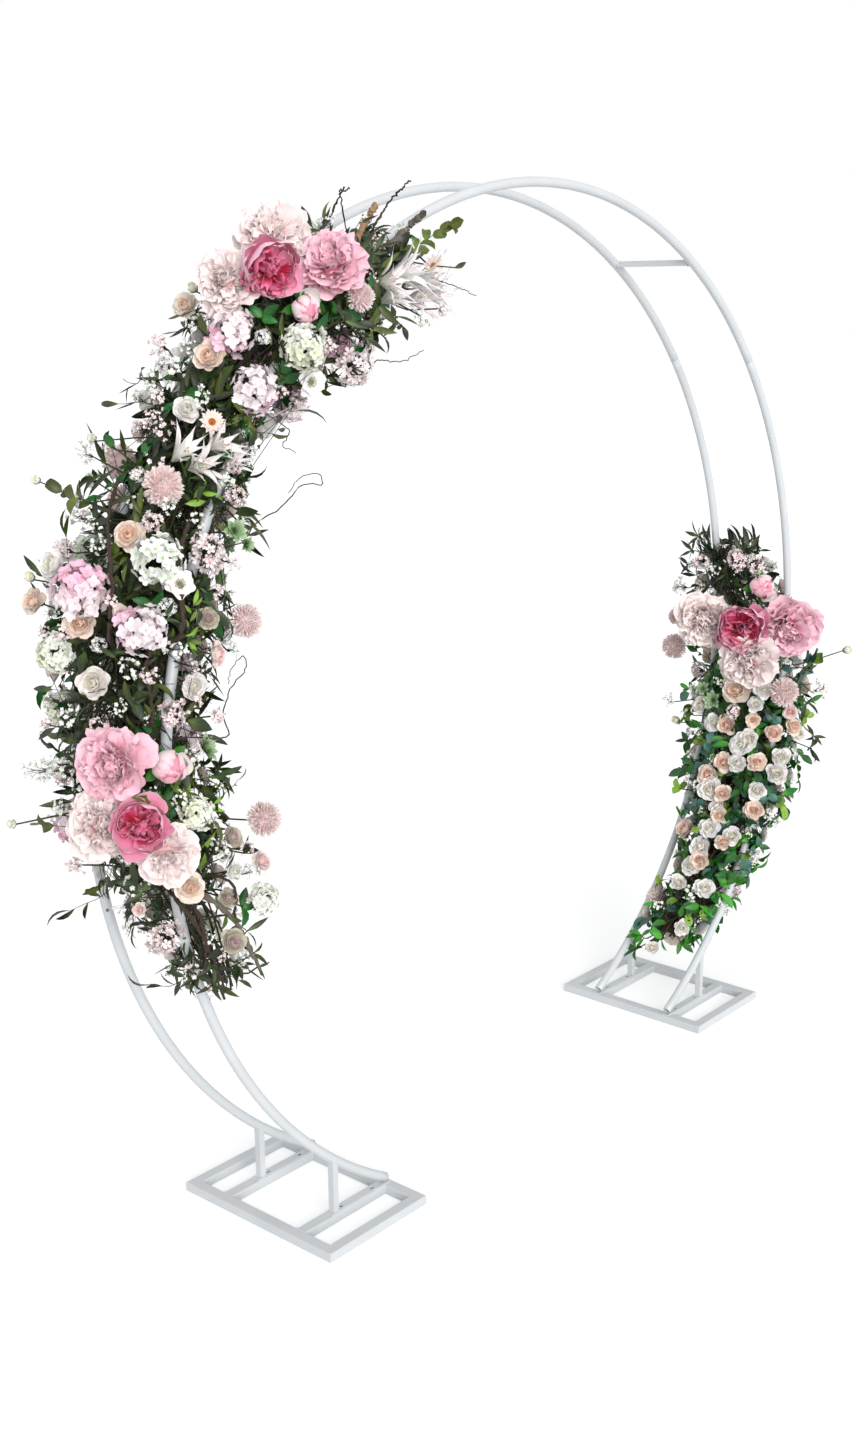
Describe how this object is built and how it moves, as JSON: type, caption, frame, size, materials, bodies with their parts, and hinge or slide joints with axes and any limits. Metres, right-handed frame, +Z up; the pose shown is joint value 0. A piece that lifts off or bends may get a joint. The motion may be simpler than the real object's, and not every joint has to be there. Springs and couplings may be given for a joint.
{
  "type": "wedding arch",
  "caption": "Free-standing round wedding arch of twin bent-tube hoops on welded base frames, dressed with two flower garlands.",
  "frame": {"origin": "on the floor, midway between the two bases and midway between the two hoops", "axes": "+X across the arch to the side with the smaller garland, +Y through the arch to the back, +Z up"},
  "size_m": [2.7444, 0.4737, 2.2641],
  "materials": {
    "white_paint": "satin",
    "foliage": "matte",
    "petals": "matte"
  },
  "bodies": {
    "root": {"front_hoop_crown": "white_paint", "front_hoop_left_leg": "white_paint", "front_hoop_right_leg": "white_paint", "left_back_rail": "white_paint", "left_front_crossbar": "white_paint", "left_front_foot_plate": "white_paint", "left_front_post": "white_paint", "left_front_rail": "white_paint", "left_garland_crest": "foliage", "left_garland_lower": "foliage", "left_garland_shoulder": "foliage", "left_garland_side": "foliage", "left_garland_tip": "foliage", "left_garland_top": "foliage", "left_inner_rail": "white_paint", "left_outer_rail": "white_paint", "left_rear_crossbar": "white_paint", "left_rear_foot_plate": "white_paint", "left_rear_post": "white_paint", "left_strut": "white_paint", "lower_peonies": "petals", "rear_hoop_crown": "white_paint", "rear_hoop_left_leg": "white_paint", "rear_hoop_right_leg": "white_paint", "right_back_rail": "white_paint", "right_front_crossbar": "white_paint", "right_front_foot_plate": "white_paint", "right_front_post": "white_paint", "right_front_rail": "white_paint", "right_garland_lower": "foliage", "right_garland_side": "foliage", "right_garland_tip": "foliage", "right_garland_top": "foliage", "right_inner_rail": "white_paint", "right_outer_rail": "white_paint", "right_peonies": "petals", "right_rear_crossbar": "white_paint", "right_rear_foot_plate": "white_paint", "right_rear_post": "white_paint", "right_strut": "white_paint", "upper_peonies": "petals"}
  },
  "joints": []
}
